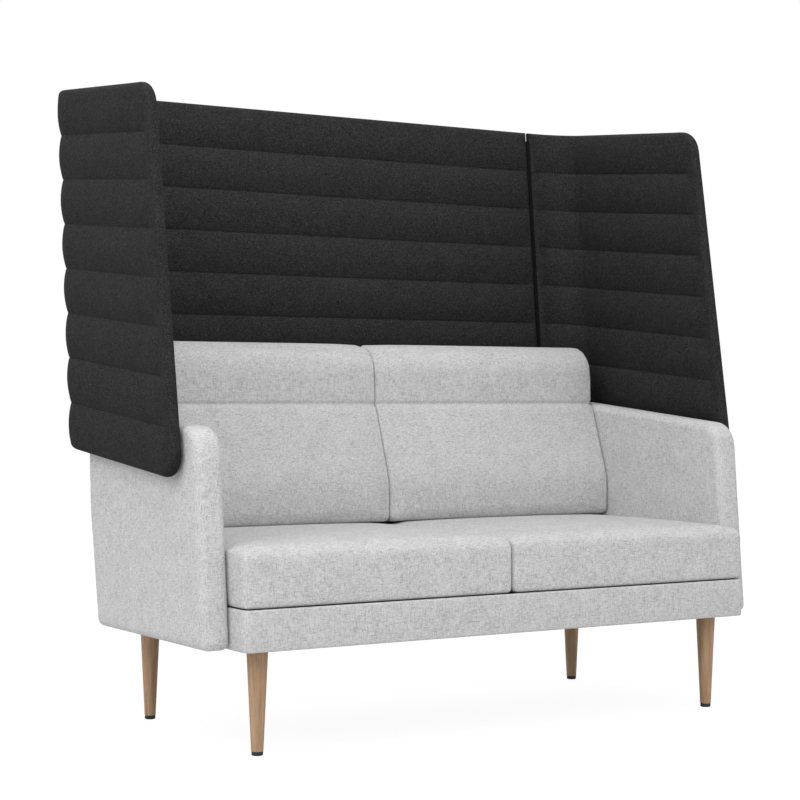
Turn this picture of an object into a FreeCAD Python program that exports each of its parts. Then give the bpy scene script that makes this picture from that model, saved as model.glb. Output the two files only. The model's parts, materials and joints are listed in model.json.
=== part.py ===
import FreeCAD, Part
import os
import re
import Sketcher

# High-back sofa with quilted screens, in millimetres and degrees.
# +X is to the right seen from the front, +Y runs to the rear, +Z is up.
# The origin is on the floor under the middle of the whole sofa.

doc = FreeCAD.newDocument("high_back_sofa")

# Driving dimensions
sizes = {
    "overall_width": 1440,
    "overall_depth": 815,
    "overall_height": 1380,
    "back_zone": 326,
    "seat_height": 420,
    "screen_lean": 5.5,
    "front_fall": 5.5,
    "fit_clear": 0.3,
    "base_bottom": 208,
    "base_height": 82,
    "leg_side_inset": 58,
    "leg_front_inset": 64,
    "leg_rear_inset": 23,
    "leg_top_diameter": 43,
    "leg_foot_diameter": 24,
    "glide_thickness": 8,
    "glide_diameter": 23,
    "glide_edge": 1.5,
    "stud_diameter": 8,
    "stud_length": 55,
    "insert_diameter": 12,
    "insert_length": 20,
    "bolt_diameter": 8,
    "leg_bolt_hold": 40,
    "leg_bolt_rise": 45,
    "plate_size": 40,
    "plate_thickness": 3,
    "screw_diameter": 4,
    "screw_length": 22,
    "screw_pitch": 28,
    "base_cover_thickness": 8,
    "base_corner_radius": 18,
    "rail_thickness": 18,
    "block_length": 80,
    "block_depth": 60,
    "web_thickness": 2,
    "web_width": 60,
    "long_web_count": 10,
    "cross_web_count": 4,
    "deck_thickness": 2,
    "dust_thickness": 1,
    "seat_cover_thickness": 2,
    "seat_edge_drop": 12,
    "seat_rear_gap": 7,
    "seat_nose_radius": 26,
    "seat_corner_radius": 16,
    "cushion_rim_radius": 11,
    "back_foot_depth": 102.5,
    "rear_lean_low": 10.3,
    "rear_lean_high": 3,
    "knee_rise": 30,
    "rear_cover_thickness": 2,
    "rear_board_thickness": 3,
    "post_depth": 45,
    "post_thickness": 18,
    "back_cap": 56,
    "back_rail_height": 48,
    "lower_rail_rise": 10,
    "back_web_count": 3,
    "back_web_rise": 20,
    "back_web_margin": 70,
    "back_cover_thickness": 2,
    "back_sink": 8,
    "back_height": 826,
    "lumbar_rise": 55,
    "crease_drop": 143,
    "crease_setback": 68,
    "roll_setback": 71,
    "roll_radius": 70,
    "lumbar_radius": 160,
    "back_toe_radius": 30,
    "arm_thickness": 61,
    "arm_setback": 57,
    "arm_rear_inset": 8,
    "arm_front_lean": 5,
    "arm_front_height": 636,
    "arm_front_radius": 56,
    "arm_foot_radius": 14,
    "arm_rim_radius": 10,
    "arm_cover_thickness": 2,
    "arm_board_thickness": 25,
    "arm_bolt_rise": 42,
    "arm_bolt_inset": 110,
    "arm_bolt_rear_inset": 81.5,
    "screen_board": 10,
    "pad_seam": 3,
    "pad_puff": 8,
    "channel_count": 8,
    "screen_overlap": 174,
    "seam_width": 10,
    "screen_bend_radius": 90,
    "screen_return": 17,
    "screen_gap": 9,
    "screen_front_setback": 131,
    "screen_front_lean": 9.25,
    "screen_top_radius": 60,
    "screen_foot_radius": 45,
    "strip_depth": 16,
    "strip_top_drop": 20,
    "screen_bolt_inset": 260,
    "screen_bolt_pitch": 260,
    "spacer_diameter": 20,
    "spacer_socket": 4,
    "spacer_rise": 25,
    "spacer_span": 800,
}

# Places worked out from the driving dimensions
places = {
    "front": "-overall_depth / 2",
    "rear": "overall_depth / 2",
    "seat_depth": "overall_depth - back_zone",
    "plinth_depth": "seat_depth + back_foot_depth",
    "knee_height": "seat_height + knee_rise",
    "back_bottom": "seat_height - back_sink",
    "post_top": "back_height - back_cap",
    "screen_foot_height": "post_top - screen_overlap",
    "crease_height": "back_height - crease_drop",
    "lumbar_height": "knee_height + lumbar_rise",
    "low_tan": "tan(rear_lean_low * 1deg)",
    "high_tan": "tan(rear_lean_high * 1deg)",
    "lean_tan": "tan(screen_lean * 1deg)",
    "fall_tan": "tan(front_fall * 1deg)",
    "arm_tan": "tan(arm_front_lean * 1deg)",
    "wing_tan": "tan(screen_front_lean * 1deg)",
    "pad_thickness": "pad_seam + pad_puff",
    "screen_thickness": "screen_board + 2 * pad_thickness",
    "screen_mid": "overall_width / 2 - screen_thickness / 2",
    "arm_outer": "overall_width / 2 - screen_thickness - fit_clear",
    "arm_inner": "arm_outer - arm_thickness",
    "base_side": "arm_inner - fit_clear",
    "rail_side": "base_side - base_cover_thickness",
    "post_side": "rail_side - rail_thickness",
    "block_side": "post_side - post_thickness",
    "base_top": "base_bottom + base_height",
    "rail_bottom": "base_bottom + plate_thickness",
    "rail_top": "base_top - fit_clear - deck_thickness - 2 * web_thickness",
    "rail_front": "front + base_cover_thickness",
    "rear_foot": "front + plinth_depth",
    "rear_knee": "rear_foot + (knee_height - base_bottom) * low_tan",
    "rear_skin": "rear_cover_thickness + rear_board_thickness",
    "post_front_skin": "rear_skin + post_depth",
    "rear_rail_back": "rear_foot + (rail_bottom - base_bottom) * low_tan - post_front_skin",
    "frame_depth": "rear_rail_back - rail_front",
    "long_web_pitch": "2 * rail_side / (long_web_count + 1)",
    "cross_web_pitch": "frame_depth / (cross_web_count + 1)",
    "lower_rail_height": "knee_height + lower_rail_rise",
    "top_rail_height": "post_top - back_rail_height",
    "lumbar_rail_height": "screen_foot_height + spacer_rise - back_rail_height / 2",
    "back_web_start": "knee_height + back_web_rise",
    "back_web_span": "post_top - back_web_margin - web_width - back_web_start",
    "back_web_pitch": "back_web_span / (back_web_count - 1)",
    "leg_front": "front + leg_front_inset",
    "leg_rear": "rear_foot - leg_rear_inset",
    "leg_side": "base_side - leg_side_inset",
    "leg_bottom": "glide_thickness + fit_clear",
    "leg_bolt_start": "base_bottom - leg_bolt_hold",
    "stud_bore": "stud_diameter + 2 * fit_clear",
    "seat_edge": "seat_height - seat_edge_drop",
    "seat_rear": "rear_rail_back + (base_top - rail_bottom) * low_tan - seat_rear_gap",
    "seat_chord": "seat_rear - front",
    "cushion_front": "front + seat_depth",
    "cushion_wide": "base_side - fit_clear",
    "arm_toe": "front + arm_setback",
    "arm_board_inset": "(arm_thickness - arm_board_thickness) / 2",
    "board_top_mid": "rear - screen_thickness / 2",
    "screen_drop": "overall_height - screen_foot_height",
    "channel_pitch": "screen_drop / channel_count",
    "back_screen_half": "screen_mid - screen_bend_radius - screen_return - screen_gap",
    "wing_toe": "front + screen_front_setback",
    "bolt_height": "base_bottom + arm_bolt_rise",
    "arm_bolt_pitch": "plinth_depth - arm_bolt_inset - arm_bolt_rear_inset",
}

sheet = doc.addObject("Spreadsheet::Sheet", "dims")
for row, (name, size) in enumerate(sizes.items(), 1):
    sheet.set(f"A{row}", name)
    sheet.set(f"B{row}", str(size))
    sheet.setAlias(f"B{row}", name)

worked = doc.addObject("Spreadsheet::Sheet", "places")


def bound(text):
    """Expression text with every size and place pointing at its own sheet."""
    def point(match):
        word = match.group()
        if word in sizes:
            return "dims." + word
        return "places." + word if word in places else word
    return re.sub(r"[a-z_]+", point, str(text))


for row, (name, formula) in enumerate(places.items(), 1):
    worked.set(f"A{row}", name)
    worked.set(f"B{row}", "=" + bound(formula))
    worked.setAlias(f"B{row}", name)
doc.recompute()


def number(text):
    return float(sheet.evalExpression(bound(text)))


def tie(target, prop, text):
    target.setExpression(prop, bound(text))


pieces = []


def piece(target, label):
    """Marks an object as a finished sub-part with the label that names its file."""
    target.Label = label
    pieces.append(target)
    return target


def box(label, x, y, z):
    """A box from three (start, size) pairs."""
    block = doc.addObject("Part::Box", label)
    for prop, axis, (start, size) in zip(("Length", "Width", "Height"), "xyz", (x, y, z)):
        tie(block, prop, size)
        tie(block, f"Placement.Base.{axis}", start)
    return block


def centred(size):
    return f"-({size}) / 2", size


def rod(label, centre, diameter, length, axis="z"):
    """A cylinder that starts at its centre point and runs along one axis."""
    turns = {
        "x": (FreeCAD.Vector(0, 1, 0), 90),
        "y": (FreeCAD.Vector(1, 0, 0), -90),
        "z": (FreeCAD.Vector(0, 0, 1), 0),
    }
    bar = doc.addObject("Part::Cylinder", label)
    bar.Placement.Rotation = FreeCAD.Rotation(*turns[axis])
    tie(bar, "Radius", f"({diameter}) / 2")
    tie(bar, "Height", length)
    for name, start in zip("xyz", centre):
        tie(bar, f"Placement.Base.{name}", start)
    return bar


def group(label, members):
    bundle = doc.addObject("Part::Compound", label)
    bundle.Links = members
    return bundle


def cut(label, base, tool):
    result = doc.addObject("Part::Cut", label)
    result.Base = base
    result.Tool = tool
    return result


def common(label, base, tool):
    result = doc.addObject("Part::Common", label)
    result.Base = base
    result.Tool = tool
    return result


def fuse(label, base, tool):
    result = doc.addObject("Part::Fuse", label)
    result.Base = base
    result.Tool = tool
    return result


def mirrored(source, label):
    """The same piece on the other side of the sofa."""
    twin = doc.addObject("Part::Mirroring", label)
    twin.Source = source
    twin.Base = (0, 0, 0)
    twin.Normal = (1, 0, 0)
    return twin


def arc_between(start, end, radius):
    """Arc from start to end, anticlockwise for a positive radius and clockwise for a negative one."""
    first = FreeCAD.Vector(*start, 0)
    last = FreeCAD.Vector(*end, 0)
    chord = last - first
    reach = (radius ** 2 - (chord.Length / 2) ** 2) ** 0.5
    inward = FreeCAD.Vector(-chord.y, chord.x, 0).normalize()
    turn = 1 if radius > 0 else -1
    centre = (first + last) / 2 + inward * reach * turn
    crown = centre - inward * abs(radius) * turn
    return Part.Arc(first, crown, last)


def outline(body, plane, corners, arcs):
    """Closed sketch whose corners and arc radii are all tied to the sheets."""
    sketch = body.newObject("Sketcher::SketchObject", body.Name + "_outline")
    origin = [f for f in body.Origin.OriginFeatures if f.Role == plane][0]
    sketch.AttachmentSupport = (origin, [""])
    sketch.MapMode = "FlatFace"
    spots = [(number(across), number(up)) for across, up in corners]
    count = len(spots)
    ends = []
    for i, start in enumerate(spots):
        end = spots[(i + 1) % count]
        if i in arcs:
            edge = arc_between(start, end, number(arcs[i]))
            ends.append((1, 2) if number(arcs[i]) > 0 else (2, 1))
        else:
            edge = Part.LineSegment(FreeCAD.Vector(*start, 0), FreeCAD.Vector(*end, 0))
            ends.append((1, 2))
        sketch.addGeometry(edge, False)
    for i in range(count):
        after = (i + 1) % count
        sketch.addConstraint(Sketcher.Constraint("Coincident", i, ends[i][1], after, ends[after][0]))
    for i, (across, up) in enumerate(corners):
        for kind, value, text in (("DistanceX", spots[i][0], across), ("DistanceY", spots[i][1], up)):
            held = sketch.addConstraint(Sketcher.Constraint(kind, -1, 1, i, ends[i][0], value))
            tie(sketch, f"Constraints[{held}]", text)
    for i, radius in arcs.items():
        held = sketch.addConstraint(Sketcher.Constraint("Radius", i, abs(number(radius))))
        tie(sketch, f"Constraints[{held}]", f"abs({radius})")
    return sketch


def edges_where(shape, test):
    return [f"Edge{i}" for i, edge in enumerate(shape.Edges, 1) if test(edge)]


def soften(body, base, radius, test, name):
    """Fillet on the edges that pass the test."""
    base.recompute(True)
    fillet = body.newObject("PartDesign::Fillet", f"{body.Name}_{name}")
    fillet.Base = (base, edges_where(base.Shape, test))
    tie(fillet, "Radius", radius)
    return fillet


def slab(label, plane, corners, length, start="0", arcs=None, rounds=None, rim=None, along=None):
    """Body padded from an outline: rounds are radii at corners, rim is a radius round both end faces."""
    body = doc.addObject("PartDesign::Body", label)
    sketch = outline(body, plane, corners, arcs or {})
    tip = body.newObject("PartDesign::Pad", label + "_pad")
    tip.Profile = sketch
    tie(tip, "Length", length)
    if along:
        tip.UseCustomVector = True
        tip.AlongSketchNormal = False
        for axis, text in zip("xyz", along):
            tie(tip, f"Direction.{axis}", text)
    tie(body, "Placement.Base.x" if plane == "YZ_Plane" else "Placement.Base.z", start)
    for i, radius in (rounds or {}).items():
        across, up = number(corners[i][0]), number(corners[i][1])

        def at_corner(edge):
            middle = edge.CenterOfMass
            place = (middle.y, middle.z) if plane == "YZ_Plane" else (middle.x, middle.y)
            return abs(place[0] - across) < 0.01 and abs(place[1] - up) < 0.01
        tip = soften(body, tip, radius, at_corner, f"round{i}")
    if rim:
        far = number(length)

        def on_rim(edge):
            side = edge.BoundBox
            flat = side.XLength < 0.01
            return flat and min(abs(side.XMin), abs(side.XMin - far)) < 0.01
        tip = soften(body, tip, rim, on_rim, "rim")
    return body


# Shared lines of the side view
def rear_low(height, inset="0"):
    """Rear of the sofa below the knee."""
    return f"rear_foot + ({height} - base_bottom) * low_tan - ({inset})"


def rear_high(height, inset="0"):
    """Rear of the sofa above the knee."""
    return f"rear_knee + ({height} - knee_height) * high_tan - ({inset})"


def quilt_level(across, channel):
    """Height of a quilting line at a depth, counted in channels down from the screens' top."""
    sunk = f"({channel}) * channel_pitch"
    return f"overall_height - {sunk} + fall_tan * ({across} - rear + {sunk} * lean_tan)"


def board_mid(height):
    """Depth of the middle of the back screen's board at a height."""
    return f"board_top_mid - (overall_height - ({height})) * lean_tan"


# Legs with their bolts, plates, inserts and glides
corners_of_base = {
    "front_left": ("-leg_side", "leg_front"),
    "front_right": ("leg_side", "leg_front"),
    "rear_left": ("-leg_side", "leg_rear"),
    "rear_right": ("leg_side", "leg_rear"),
}


def leg(name, x, y):
    taper = doc.addObject("Part::Cone", f"leg_taper_{name}")
    tie(taper, "Radius1", "leg_foot_diameter / 2")
    tie(taper, "Radius2", "leg_top_diameter / 2")
    tie(taper, "Height", "base_bottom - leg_bottom")
    for axis, start in zip("xyz", (x, y, "leg_bottom")):
        tie(taper, f"Placement.Base.{axis}", start)
    socket = rod(f"leg_insert_hole_{name}", (x, y, "leg_bottom"), "insert_diameter", "insert_length")
    bore = rod(f"leg_stud_hole_{name}", (x, y, "leg_bottom"), "stud_bore", "stud_length")
    top = rod(f"leg_bolt_hole_{name}", (x, y, "leg_bolt_start"), "bolt_diameter", "leg_bolt_hold")
    holes = group(f"leg_holes_{name}", [fuse(f"leg_foot_hole_{name}", socket, bore), top])
    return piece(cut(f"leg_body_{name}", taper, holes), f"leg_{name}")


def glide(name, x, y):
    """Round pad with its threaded stud, in one moulding."""
    disc_height = "glide_thickness - glide_edge"
    disc = rod(f"glide_disc_{name}", (x, y, "glide_edge"), "glide_diameter", disc_height)
    sole = doc.addObject("Part::Cone", f"glide_sole_{name}")
    tie(sole, "Radius1", "glide_diameter / 2 - glide_edge")
    tie(sole, "Radius2", "glide_diameter / 2")
    tie(sole, "Height", "glide_edge")
    tie(sole, "Placement.Base.x", x)
    tie(sole, "Placement.Base.y", y)
    stud = rod(f"glide_stud_{name}", (x, y, "glide_thickness / 2"), "stud_diameter", "stud_length")
    pad = fuse(f"glide_pad_{name}", disc, sole)
    return piece(fuse(f"glide_whole_{name}", pad, stud), f"glide_{name}")


def insert(name, x, y):
    outer = rod(f"insert_outer_{name}", (x, y, "leg_bottom"), "insert_diameter", "insert_length")
    bore = rod(f"insert_bore_{name}", (x, y, "leg_bottom"), "stud_bore", "insert_length")
    return cut(f"insert_{name}", outer, bore)


def leg_bolt(name, x, y):
    length = "leg_bolt_hold + plate_thickness + leg_bolt_rise"
    return rod(f"leg_bolt_{name}", (x, y, "leg_bolt_start"), "bolt_diameter", length)


def plate_screws(name, x, y):
    screws = []
    for side in (-1, 1):
        for end in (-1, 1):
            spot = (f"{x} + {side} * screw_pitch / 2", f"{y} + {end} * screw_pitch / 2", "base_bottom")
            screws.append(rod(f"screw_{name}_{side + 1}{end + 1}", spot, "screw_diameter", "screw_length"))
    return screws


def leg_plate(name, x, y, holes):
    sheet_metal = box(
        f"plate_blank_{name}",
        (f"{x} - plate_size / 2", "plate_size"),
        (f"{y} - plate_size / 2", "plate_size"),
        ("base_bottom", "plate_thickness"),
    )
    return cut(f"plate_{name}", sheet_metal, holes)


inserts = []
bolts = []
screws = []
plates = []
for name, (x, y) in corners_of_base.items():
    leg(name, x, y)
    glide(name, x, y)
    inserts.append(insert(name, x, y))
    bolts.append(leg_bolt(name, x, y))
    own_screws = plate_screws(name, x, y)
    screws += own_screws
    plates.append(leg_plate(name, x, y, group(f"plate_holes_{name}", [bolts[-1]] + own_screws)))
piece(group("insert_set", inserts), "glide_inserts")
leg_bolts = piece(group("leg_bolt_set", bolts), "leg_bolts")
piece(group("plate_set", plates), "leg_plates")
plate_screw_set = piece(group("screw_set", screws), "leg_plate_screws")
leg_fixings = group("leg_fixings", [leg_bolts, plate_screw_set])

# Bolts through the arms into the base, used as tools for their holes
arm_bolt_length = "arm_inner + arm_thickness / 2 - post_side"
arm_bolts_right = [
    rod(f"arm_bolt_{i}", ("post_side", f"front + arm_bolt_inset + {i} * arm_bolt_pitch", "bolt_height"),
        "bolt_diameter", arm_bolt_length, "x")
    for i in range(2)
]
arm_bolt_pair = group("arm_bolt_pair", arm_bolts_right)
arm_bolt_twin = mirrored(arm_bolt_pair, "arm_bolt_twin")
arm_bolt_set = piece(group("arm_bolt_set", [arm_bolt_pair, arm_bolt_twin]), "arm_bolts")

# Base frame
rail_z = ("rail_bottom", "rail_top - rail_bottom")


def base_frame():
    front_y = ("rail_front", "rail_thickness")
    piece(box("front_rail", centred("2 * post_side"), front_y, rail_z), "base_front_rail")
    rear_y = ("rear_rail_back - rail_thickness", "rail_thickness")
    piece(box("rear_rail", centred("2 * post_side"), rear_y, rail_z), "base_rear_rail")
    centre_y = ("rail_front + rail_thickness", "frame_depth - 2 * rail_thickness")
    piece(box("centre_rail", centred("rail_thickness"), centre_y, rail_z), "base_centre_rail")
    side_y = ("rail_front", "frame_depth + post_depth")
    blank = box("side_rail_blank", ("post_side", "rail_thickness"), side_y, rail_z)
    side = cut("side_rail_right", blank, arm_bolt_pair)
    piece(side, "base_side_rail_right")
    piece(mirrored(side, "side_rail_left"), "base_side_rail_left")


def corner_blocks():
    front = box(
        "front_block",
        ("post_side - block_length", "block_length"),
        ("rail_front + rail_thickness", "block_depth"),
        rail_z,
    )
    rear = box(
        "rear_block",
        ("post_side - block_length", "block_length - post_thickness"),
        ("rear_rail_back", "post_depth"),
        rail_z,
    )
    pair = group("block_pair", [front, rear])
    blanks = group("block_blanks", [pair, mirrored(pair, "block_pair_left")])
    piece(cut("blocks", blanks, leg_fixings), "corner_blocks")


base_frame()
corner_blocks()


def base_cover():
    """Padded fabric band round the front and the sides of the base."""
    deep = "plinth_depth - rear_skin"
    corners = [("-base_side", "front"), ("base_side", "front"),
               ("base_side", f"front + {deep}"), ("-base_side", f"front + {deep}")]
    radius = "base_corner_radius"
    band = slab("base_band", "XY_Plane", corners, "base_height", "base_bottom", rounds={0: radius, 1: radius})
    hollow = box("base_hollow", centred("2 * rail_side"), ("rail_front", "overall_depth"),
                 ("base_bottom", "base_height"))
    piece(cut("base_cover_bolted", cut("base_ring", band, hollow), arm_bolt_set), "base_cover")


def dust_cover():
    """Thin cloth under the frame, cut out round the leg plates."""
    deep = "rear_rail_back + post_depth - fit_clear - rail_front"
    cloth = box("dust_cloth", centred("2 * rail_side"), ("rail_front", deep),
                ("rail_bottom - dust_thickness", "dust_thickness"))
    windows = [
        box(f"dust_window_{name}",
            (f"{x} - plate_size / 2 - fit_clear", "plate_size + 2 * fit_clear"),
            (f"{y} - plate_size / 2 - fit_clear", "plate_size + 2 * fit_clear"),
            ("base_bottom", "plate_thickness"))
        for name, (x, y) in corners_of_base.items()
    ]
    piece(cut("dust_cover_cut", cloth, group("dust_windows", windows)), "dust_cover")


def seat_support():
    """Long and cross webbing straps, and the cloth that lies on them."""
    long_y = ("rail_front", "frame_depth")
    straps = [
        box(f"long_web_{i}", (f"{i} * long_web_pitch - rail_side - web_width / 2", "web_width"), long_y,
            ("rail_top", "web_thickness"))
        for i in range(1, int(number("long_web_count")) + 1)
    ]
    straps += [
        box(f"cross_web_{i}", centred("2 * rail_side"),
            (f"rail_front + {i} * cross_web_pitch - web_width / 2", "web_width"),
            ("rail_top + web_thickness", "web_thickness"))
        for i in range(1, int(number("cross_web_count")) + 1)
    ]
    piece(group("seat_straps", straps), "seat_webbing")
    deck_z = ("rail_top + 2 * web_thickness", "deck_thickness")
    piece(box("deck_sheet", centred("2 * rail_side"), long_y, deck_z), "seat_deck_cloth")


base_cover()
dust_cover()
seat_support()


# Seat cushions: crowned front to back, each a fabric cover over a foam block
def seat_block(label, inset):
    low = f"base_top + {inset}"
    edge = f"seat_edge - {inset}"
    nose = f"front + {inset}"
    tail = f"seat_rear - {inset}"
    corners = [(nose, low), (tail, low), (tail, edge), (nose, edge)]
    crown_radius = f"((seat_chord / 2 - {inset}) ^ 2 + seat_edge_drop ^ 2) / (2 * seat_edge_drop)"
    rim = f"cushion_rim_radius - {inset}"
    corner = f"seat_corner_radius - {inset}"
    rounds = {3: f"seat_nose_radius - {inset}", 0: corner, 1: corner, 2: corner}
    width = f"cushion_wide - fit_clear - 2 * ({inset})"
    return slab(label, "YZ_Plane", corners, width, f"fit_clear + {inset}",
                arcs={2: crown_radius}, rounds=rounds, rim=rim)


def seat_cushions():
    foam = seat_block("seat_foam_block", "seat_cover_thickness")
    cover = cut("seat_cover_shell", seat_block("seat_cover_block", "0"), foam)
    piece(foam, "seat_foam_right")
    piece(cover, "seat_cover_right")
    piece(mirrored(foam, "seat_foam_twin"), "seat_foam_left")
    piece(mirrored(cover, "seat_cover_twin"), "seat_cover_left")


seat_cushions()


# Back frame: posts, rails between them, webbing, rear board and rear cover
def behind(label, inner, outer, bottom, top, half_width):
    """Bent sheet that follows the rear of the sofa between two insets."""
    corners = [
        (rear_low(bottom, outer), bottom), (rear_low(bottom, inner), bottom),
        (rear_low("knee_height", inner), "knee_height"), (rear_high(top, inner), top),
        (rear_high(top, outer), top), (rear_low("knee_height", outer), "knee_height"),
    ]
    return slab(label, "YZ_Plane", corners, f"2 * ({half_width})", f"-({half_width})")


def back_bar(label, bottom, height, depth, inset, half_width):
    """Straight bar across the back, its face on the lean of the posts."""
    top = f"{bottom} + {height}"
    corners = [
        (rear_high(bottom, inset), bottom), (rear_high(bottom, f"{inset} - {depth}"), bottom),
        (rear_high(top, f"{inset} - {depth}"), top), (rear_high(top, inset), top),
    ]
    return slab(label, "YZ_Plane", corners, f"2 * ({half_width})", f"-({half_width})")


rail_levels = {
    "lower": "lower_rail_height",
    "lumbar": "lumbar_rail_height",
    "top": "top_rail_height",
}
spacer_levels = {
    "lumbar": "lumbar_rail_height + back_rail_height / 2",
    "top": "top_rail_height + back_rail_height / 2",
}


def back_spacers():
    """Stand-offs between the back frame and the back screen's board."""
    bars = []
    for name, level in spacer_levels.items():
        start = rear_high(level, "post_front_skin - rail_thickness + spacer_socket")
        end = f"{board_mid(level)} - screen_board / 2 + spacer_socket"
        for side in (-1, 1):
            spot = (f"{side} * spacer_span / 2", start, level)
            bars.append(rod(f"spacer_{name}_{side + 1}", spot, "spacer_diameter", f"{end} - ({start})", "y"))
    return piece(group("spacer_set", bars), "back_spacers")


spacers = back_spacers()


def back_frame():
    blanks = []
    for name, level in rail_levels.items():
        blank = back_bar(f"{name}_rail_bar", level, "back_rail_height", "rail_thickness",
                         "post_front_skin", "block_side")
        blanks.append(blank)
        rail = blank if name == "lower" else cut(f"{name}_rail_cut", blank, spacers)
        piece(rail, f"back_{name}_rail")
    post_span = ("rear_skin", "post_front_skin", "rail_bottom", "post_top", "post_thickness / 2")
    centre_post = behind("centre_post", *post_span)
    notched = cut("centre_post_cut", centre_post, group("rail_bars", blanks))
    piece(notched, "back_post_centre")
    side_post = behind("side_post", *post_span)
    tie(side_post, "Placement.Base.x", "block_side")
    screwed = cut("side_post_cut", side_post, leg_fixings)
    piece(screwed, "back_post_right")
    piece(mirrored(screwed, "side_post_twin"), "back_post_left")
    straps = [
        back_bar(f"back_web_{i}", f"back_web_start + {i} * back_web_pitch", "web_width", "web_thickness",
                 "post_front_skin + web_thickness", "post_side")
        for i in range(int(number("back_web_count")))
    ]
    piece(group("back_straps", straps), "back_webbing")


def rear_panels():
    panel_span = ("rail_bottom", "post_top", "base_side")
    board = behind("rear_board_sheet", "rear_cover_thickness", "rear_skin", *panel_span)
    cover = behind("rear_cover_sheet", "0", "rear_cover_thickness", *panel_span)
    piece(cut("rear_board_cut", board, spacers), "back_rear_board")
    piece(cut("rear_cover_cut", cover, spacers), "back_rear_cover")


back_frame()
rear_panels()


# Back cushions: lumbar pad below a sewn crease, and a roll that caps the frame above it
def back_block(label, inset):
    face = f"cushion_front + {inset}"
    crease = f"cushion_front + crease_setback + {inset}"
    roll = f"cushion_front + roll_setback + {inset}"
    low = f"back_bottom + {inset}"
    high = f"back_height - {inset}"
    cap = f"post_top + fit_clear + {inset}"
    spine = f"post_front_skin + web_thickness + fit_clear + {inset}"
    corners = [
        (face, low), (rear_low(low, spine), low), (rear_low("knee_height", spine), "knee_height"),
        (rear_high(cap, spine), cap), (rear_high(cap, inset), cap), (rear_high(cap, inset), high),
        (roll, high), (crease, "crease_height"), (face, "lumbar_height"),
    ]
    rim = f"cushion_rim_radius - {inset}"
    rounds = {0: f"back_toe_radius - {inset}", 5: rim, 6: f"roll_radius - {inset}", 8: "lumbar_radius"}
    width = f"cushion_wide - fit_clear - 2 * ({inset})"
    return slab(label, "YZ_Plane", corners, width, f"fit_clear + {inset}", rounds=rounds)


def back_cushions():
    foam = back_block("back_foam_block", "back_cover_thickness")
    cover = cut("back_cover_shell", back_block("back_cover_block", "0"), foam)
    piece(foam, "back_foam_right")
    piece(cover, "back_cover_right")
    piece(mirrored(foam, "back_foam_twin"), "back_foam_left")
    piece(mirrored(cover, "back_cover_twin"), "back_cover_left")


back_cushions()

# Bolts between the arms and the side screens, used as tools for their holes
screen_bolt_start = "arm_outer - arm_board_inset - arm_board_thickness / 2"
screen_bolt_length = f"screen_mid - ({screen_bolt_start})"
screen_bolts_right = []
for i in range(2):
    along = f"front + screen_bolt_inset + {i} * screen_bolt_pitch"
    height = f"({quilt_level(along, 'channel_count')} + arm_front_height) / 2"
    spot = (screen_bolt_start, along, height)
    screen_bolts_right.append(rod(f"screen_bolt_{i}", spot, "bolt_diameter", screen_bolt_length, "x"))
screen_bolt_pair = group("screen_bolt_pair", screen_bolts_right)
screen_bolt_twin = mirrored(screen_bolt_pair, "screen_bolt_twin")
piece(group("screen_bolt_set", [screen_bolt_pair, screen_bolt_twin]), "screen_bolts")
arm_holes = group("arm_holes", [arm_bolt_pair, screen_bolt_pair])


# Arms: a board inside foam inside a fabric cover
def arm_block(label, inset, rounded):
    """Arm outline in side view: leaning front, top that falls to the front, rear that follows the sofa."""
    low = f"base_bottom + {inset}"
    toe = f"arm_toe + {inset}"
    ridge = f"arm_front_height - {inset} + fall_tan * {inset}"
    rise = f"({ridge} - base_bottom - {inset})"
    brow = f"{toe} + {rise} * arm_tan"
    tail = f"arm_rear_inset + {inset}"
    rear_run = f"({rear_high('arm_front_height', tail)} - ({brow}))"
    crest = f"{ridge} + {rear_run} * fall_tan / (1 - high_tan * fall_tan)"
    corners = [
        (toe, low), (rear_low(low, tail), low), (rear_low("knee_height", tail), "knee_height"),
        (rear_high(crest, tail), crest), (brow, ridge),
    ]
    rounds = {4: f"arm_front_radius - {inset}"}
    if rounded:
        foot = f"arm_foot_radius - {inset}"
        rounds.update({0: foot, 1: foot, 3: foot})
    rim = f"arm_rim_radius - {inset}" if rounded else None
    return slab(label, "YZ_Plane", corners, f"arm_thickness - 2 * ({inset})", f"arm_inner + {inset}",
                rounds=rounds, rim=rim)


def arms():
    outer = arm_block("arm_outer_block", "0", True)
    padding = arm_block("arm_foam_block", "arm_cover_thickness", True)
    board = arm_block("arm_board_block", "arm_board_inset", False)
    shell = cut("arm_cover_bolted", cut("arm_cover_shell", outer, padding), arm_holes)
    foam = cut("arm_foam_bolted", cut("arm_foam_shell", padding, board), arm_holes)
    core = cut("arm_board_bolted", board, arm_holes)
    for target, label in ((shell, "arm_cover"), (foam, "arm_foam"), (core, "arm_board")):
        piece(target, label + "_right")
        piece(mirrored(target, label + "_twin"), label + "_left")


arms()


# Screens: leaning panels whose edges and seams fall to the front
lean_way = ("0", "sin(screen_lean * 1deg)", "cos(screen_lean * 1deg)")
lean_length = "2 * overall_height"
floor_mid = board_mid("0")


def wing_outline(label):
    """Side view of the screens: lower edge, leaning front edge and upper edge."""
    beyond = "rear + screen_drop"
    toe_level = f"({quilt_level('wing_toe', 'channel_count')})"
    head_level = f"({quilt_level('wing_toe', '0')})"
    rise = f"({head_level} - {toe_level}) / (1 - wing_tan * fall_tan)"
    head = f"wing_toe + {rise} * wing_tan"
    corners = [
        ("wing_toe", toe_level), (beyond, quilt_level(beyond, "channel_count")),
        (beyond, quilt_level(beyond, "0")), (head, f"{toe_level} + {rise}"),
    ]
    return slab(label, "YZ_Plane", corners, "2 * overall_width", "-overall_width",
                rounds={0: "screen_foot_radius", 3: "screen_top_radius"})


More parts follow.
